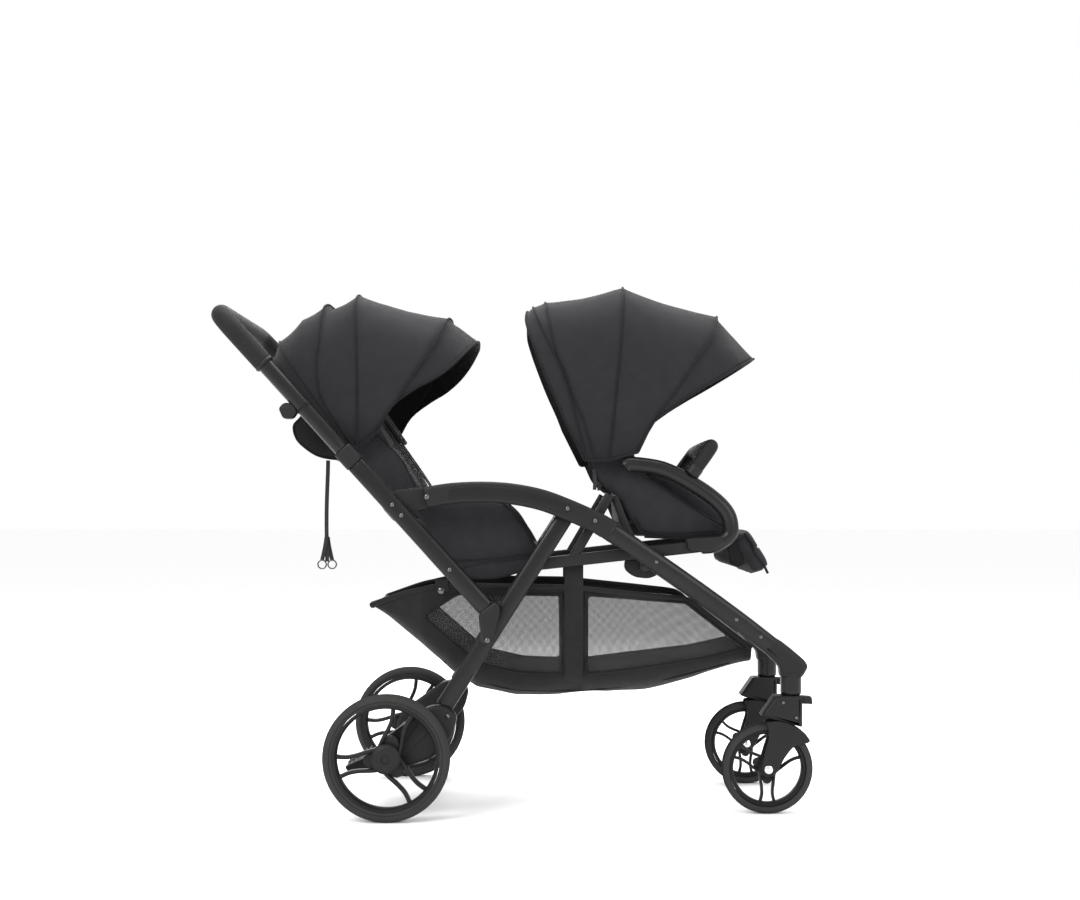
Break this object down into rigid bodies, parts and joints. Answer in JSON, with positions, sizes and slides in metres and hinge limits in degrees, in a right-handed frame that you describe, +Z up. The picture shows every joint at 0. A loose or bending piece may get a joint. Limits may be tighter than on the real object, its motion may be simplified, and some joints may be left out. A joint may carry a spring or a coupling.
{
  "type": "tandem pushchair",
  "caption": "Folding tandem pushchair: two seats in line under hoods, a U-shaped push bar, large rear wheels, small swivelling front wheels and a mesh basket.",
  "frame": {"origin": "middle of the footprint, on the ground", "axes": "+X forward, +Y to the left of someone pushing, +Z up"},
  "size_m": [1.1576, 0.5638, 1.026],
  "materials": {
    "tube_paint": "satin",
    "black_plastic": "fine texture",
    "seat_fabric": "woven polyester",
    "basket_mesh": "open mesh",
    "tyre_rubber": "matt",
    "grip_foam": "matt foam",
    "bright_steel": "bright",
    "webbing": "ribbed webbing"
  },
  "bodies": {
    "rear_frame": {"rear_leg_l": "tube_paint", "rear_leg_r": "tube_paint", "axle_housing_l": "black_plastic", "axle_housing_r": "black_plastic", "rear_axle_beam": "tube_paint", "basket": "basket_mesh"},
    "front_frame": {"arch_rail_l": "black_plastic", "arch_rail_r": "black_plastic", "front_leg_l": "tube_paint", "front_leg_r": "tube_paint", "knee_l": "black_plastic", "knee_r": "black_plastic", "seat_rail_l": "black_plastic", "seat_rail_r": "black_plastic", "seat_support_l": "tube_paint", "seat_support_r": "tube_paint", "front_arm_l": "tube_paint", "front_arm_r": "tube_paint", "seat_cross_tube": "tube_paint", "front_cross_tube": "tube_paint", "rear_seat": "seat_fabric", "front_seat": "seat_fabric", "front_canopy_back": "seat_fabric"},
    "push_handle": {"handle_tube_l": "tube_paint", "handle_tube_r": "tube_paint", "handle_hinge_l": "black_plastic", "handle_hinge_r": "black_plastic", "arch_bracket_l": "black_plastic", "arch_bracket_r": "black_plastic", "fold_collar_l": "black_plastic", "fold_collar_r": "black_plastic", "push_bar": "tube_paint", "push_bar_grip": "grip_foam", "rear_canopy_back": "seat_fabric"},
    "brake": {"brake_pedal": "black_plastic"},
    "rear_recliner": {"rear_backrest": "seat_fabric", "backrest_sling": "seat_fabric", "recline_strap": "webbing", "strap_ring": "bright_steel"},
    "front_recliner": {"front_backrest": "seat_fabric"},
    "rear_hood": {"rear_canopy_front": "seat_fabric"},
    "front_hood": {"front_canopy_front": "seat_fabric"},
    "calf_rest": {"legrest": "seat_fabric"},
    "bumper": {"bumper_bar": "grip_foam"},
    "rear_wheel_l": {"rear_tyre_l": "tyre_rubber", "rear_rim_l": "black_plastic", "rear_hub_cap_l": "black_plastic"},
    "caster_l": {"caster_fork_l": "black_plastic", "front_axle_l": "bright_steel"},
    "front_wheel_l": {"front_tyre_l": "tyre_rubber", "front_rim_l": "black_plastic"},
    "swivel_lock_l": {"swivel_lock_l": "black_plastic"},
    "rear_wheel_r": {"rear_tyre_r": "tyre_rubber", "rear_rim_r": "black_plastic", "rear_hub_cap_r": "black_plastic"},
    "caster_r": {"caster_fork_r": "black_plastic", "front_axle_r": "bright_steel"},
    "front_wheel_r": {"front_tyre_r": "tyre_rubber", "front_rim_r": "black_plastic"},
    "swivel_lock_r": {"swivel_lock_r": "black_plastic"}
  },
  "joints": [
    {"name": "frame_fold", "type": "hinge", "parent": "rear_frame", "child": "front_frame", "pos_m": [0.10179, 0, 0.58], "axis": [0, 1, 0], "range_deg": [0, 60], "deforming": ["basket", "rear_seat"]},
    {"name": "handle_fold", "type": "hinge", "parent": "rear_frame", "child": "push_handle", "pos_m": [-0.04922, 0, 0.339], "axis": [0, 1, 0], "range_deg": [0, 29]},
    {"name": "rear_wheel_spin_l", "type": "hinge", "parent": "rear_frame", "child": "rear_wheel_l", "pos_m": [-0.23822, 0.26, 0.12], "axis": [0, 1, 0], "continuous": true},
    {"name": "caster_swivel_l", "type": "hinge", "parent": "front_frame", "child": "caster_l", "pos_m": [0.53678, 0.17, 0.2], "axis": [0, 0, 1], "continuous": true},
    {"name": "front_wheel_spin_l", "type": "hinge", "parent": "caster_l", "child": "front_wheel_l", "pos_m": [0.48779, 0.17, 0.0875], "axis": [0, 1, 0], "continuous": true},
    {"name": "swivel_lock_flip_l", "type": "hinge", "parent": "caster_l", "child": "swivel_lock_l", "pos_m": [0.55778, 0.17, 0.217], "axis": [0, 1, 0], "range_deg": [-20, 0]},
    {"name": "rear_wheel_spin_r", "type": "hinge", "parent": "rear_frame", "child": "rear_wheel_r", "pos_m": [-0.23822, -0.26, 0.12], "axis": [0, 1, 0], "continuous": true},
    {"name": "caster_swivel_r", "type": "hinge", "parent": "front_frame", "child": "caster_r", "pos_m": [0.53678, -0.17, 0.2], "axis": [0, 0, 1], "continuous": true},
    {"name": "front_wheel_spin_r", "type": "hinge", "parent": "caster_r", "child": "front_wheel_r", "pos_m": [0.48779, -0.17, 0.0875], "axis": [0, 1, 0], "continuous": true},
    {"name": "swivel_lock_flip_r", "type": "hinge", "parent": "caster_r", "child": "swivel_lock_r", "pos_m": [0.55778, -0.17, 0.217], "axis": [0, 1, 0], "range_deg": [-20, 0]},
    {"name": "brake_press", "type": "hinge", "parent": "rear_frame", "child": "brake", "pos_m": [-0.23822, -0.144, 0.12], "axis": [0, 1, 0], "range_deg": [-18, 0]},
    {"name": "rear_recline", "type": "hinge", "parent": "push_handle", "child": "rear_recliner", "pos_m": [-0.17622, 0, 0.6], "axis": [0, 1, 0], "range_deg": [-30, 0]},
    {"name": "front_recline", "type": "hinge", "parent": "front_frame", "child": "front_recliner", "pos_m": [0.19179, 0, 0.64], "axis": [0, 1, 0], "range_deg": [-22, 0]},
    {"name": "rear_hood_fold", "type": "hinge", "parent": "push_handle", "child": "rear_hood", "pos_m": [-0.30122, 0, 0.706], "axis": [0, 1, 0], "range_deg": [-34, 0]},
    {"name": "front_hood_fold", "type": "hinge", "parent": "front_frame", "child": "front_hood", "pos_m": [0.18379, 0, 0.615], "axis": [0, 1, 0], "range_deg": [-27, 0]},
    {"name": "calf_rest_tilt", "type": "hinge", "parent": "front_frame", "child": "calf_rest", "pos_m": [0.42579, 0, 0.54], "axis": [0, 1, 0], "range_deg": [-45, 0]},
    {"name": "bumper_release", "type": "slide", "parent": "front_frame", "child": "bumper", "axis": [0.6, 0, 0.8], "range_m": [0, 0.05]}
  ],
  "couplings": [
    {"joint": "handle_fold", "follows": "frame_fold", "ratio": 0.475}
  ]
}
